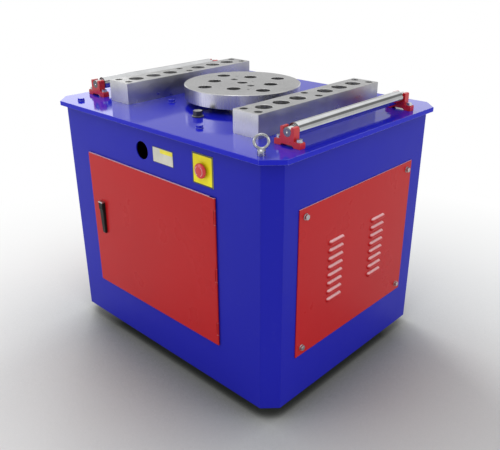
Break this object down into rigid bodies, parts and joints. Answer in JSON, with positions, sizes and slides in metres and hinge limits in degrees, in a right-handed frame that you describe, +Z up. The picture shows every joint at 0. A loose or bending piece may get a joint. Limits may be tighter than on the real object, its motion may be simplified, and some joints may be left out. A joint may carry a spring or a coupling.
{
  "type": "rebar bending machine",
  "caption": "Floor-standing machine that bends steel bar: thick table with a driven, drilled disc between two drilled support bars, side feed rollers, and a cabinet with the worm drive.",
  "frame": {"origin": "on the floor, below the centre of the bending disc", "axes": "+X along the table's long side towards the right end, +Y from the door side to the rear, +Z up"},
  "size_m": [0.926, 0.7549, 0.823],
  "materials": {
    "table_paint": "glossy blue enamel, worn at the edges",
    "cabinet_paint": "satin blue enamel on folded sheet",
    "panel_paint": "satin red enamel",
    "bracket_paint": "satin red enamel over a cast surface",
    "disc_steel": "turned steel, fine lathe lines",
    "bar_steel": "ground steel with scuffs",
    "roller_steel": "polished round steel",
    "bolt_steel": "zinc-plated steel",
    "black_oxide": "black oxide steel",
    "eye_steel": "galvanised forged steel",
    "grey_paint": "grey enamel",
    "cast_grey": "sand-cast iron, primed",
    "bronze": "machined bronze",
    "machined_steel": "machined steel",
    "frame_paint": "dark primer",
    "motor_paint": "blue-grey enamel on a finned frame",
    "fan_plastic": "black moulded plastic",
    "belt_rubber": "black rubber with a woven back",
    "foot_rubber": "black rubber pad",
    "box_paint": "light grey powder coat",
    "contactor_plastic": "off-white moulded plastic",
    "handle_plastic": "black moulded plastic",
    "yellow_plate": "yellow plate with a dark border",
    "red_plastic": "red moulded plastic",
    "black_plastic": "black moulded plastic"
  },
  "bodies": {
    "machine_frame": {"table_plate": "table_paint", "front_sheet": "cabinet_paint", "rear_sheet": "cabinet_paint", "left_sheet": "cabinet_paint", "right_sheet": "cabinet_paint", "corner_sheets": "cabinet_paint", "base_rails": "frame_paint", "frame_posts": "frame_paint", "motor_plate": "frame_paint", "left_louvre_panel": "panel_paint", "right_louvre_panel": "panel_paint", "panel_screws": "bolt_steel", "left_support_bar": "bar_steel", "right_support_bar": "bar_steel", "bar_bolts": "black_oxide", "left_front_bracket": "bracket_paint", "left_rear_bracket": "bracket_paint", "right_front_bracket": "bracket_paint", "right_rear_bracket": "bracket_paint", "bracket_bolts": "bolt_steel", "lifting_eye": "eye_steel", "filler_plug": "grey_paint", "table_bolts": "table_paint", "bearing_housing": "cast_grey", "housing_bolts": "bolt_steel", "shaft_bearings": "machined_steel", "gearbox_case": "cast_grey", "gearbox_cover": "cast_grey", "worm_bearing_caps": "cast_grey", "drive_bolts": "bolt_steel", "motor_body": "motor_paint", "motor_fan_cover": "motor_paint", "motor_terminal_box": "motor_paint", "v_belts": "belt_rubber", "levelling_feet": "foot_rubber", "electrical_box": "box_paint", "electrical_box_lid": "box_paint", "contactors": "contactor_plastic", "door_hinges": "panel_paint", "estop_plate": "yellow_plate", "estop_block": "black_plastic"},
    "working_disc": {"bending_disc": "disc_steel", "disc_bolts": "black_oxide", "disc_dowels": "machined_steel", "main_shaft": "machined_steel", "shaft_nut": "machined_steel", "worm_wheel_rim": "bronze", "worm_wheel_hub": "cast_grey"},
    "worm_drive": {"worm_shaft": "machined_steel", "large_pulley": "cast_grey"},
    "motor_armature": {"motor_rotor": "machined_steel", "motor_fan": "fan_plastic", "small_pulley": "cast_grey"},
    "left_feed_roller": {"left_roller": "roller_steel"},
    "right_feed_roller": {"right_roller": "roller_steel"},
    "front_door": {"door_panel": "panel_paint"},
    "latch": {"door_handle": "handle_plastic", "latch_cam": "bolt_steel"},
    "stop_plunger": {"estop_stem": "black_plastic"},
    "stop_head": {"estop_cap": "red_plastic"}
  },
  "joints": [
    {"name": "motor_spin", "type": "hinge", "parent": "machine_frame", "child": "motor_armature", "pos_m": [0.17, -0.125, 0.198], "axis": [1, 0, 0], "continuous": true},
    {"name": "worm_spin", "type": "hinge", "parent": "machine_frame", "child": "worm_drive", "pos_m": [0, -0.125, 0.52], "axis": [1, 0, 0], "continuous": true},
    {"name": "disc_spin", "type": "hinge", "parent": "machine_frame", "child": "working_disc", "pos_m": [0, 0, 0.775], "axis": [0, 0, 1], "continuous": true},
    {"name": "left_roller_spin", "type": "hinge", "parent": "machine_frame", "child": "left_feed_roller", "pos_m": [-0.397, 0, 0.796], "axis": [0, 1, 0], "continuous": true},
    {"name": "right_roller_spin", "type": "hinge", "parent": "machine_frame", "child": "right_feed_roller", "pos_m": [0.397, 0, 0.796], "axis": [0, 1, 0], "continuous": true},
    {"name": "door_hinge", "type": "hinge", "parent": "machine_frame", "child": "front_door", "pos_m": [0.25235, -0.36295, 0.395], "axis": [0, 0, 1], "range_deg": [0, 115]},
    {"name": "handle_turn", "type": "hinge", "parent": "front_door", "child": "latch", "pos_m": [-0.254, -0.366, 0.4545], "axis": [0, -1, 0], "range_deg": [0, 90]},
    {"name": "estop_press", "type": "slide", "parent": "machine_frame", "child": "stop_plunger", "axis": [0, 1, 0], "range_m": [0, 0.004], "stiffness_N_per_m": 2000},
    {"name": "estop_twist", "type": "hinge", "parent": "stop_plunger", "child": "stop_head", "pos_m": [0.2095, -0.375, 0.682], "axis": [0, -1, 0], "range_deg": [0, 45], "stiffness_Nm_per_rad": 0.3}
  ],
  "couplings": [
    {"joint": "worm_spin", "follows": "motor_spin", "ratio": 0.4},
    {"joint": "disc_spin", "follows": "motor_spin", "ratio": -0.01}
  ]
}
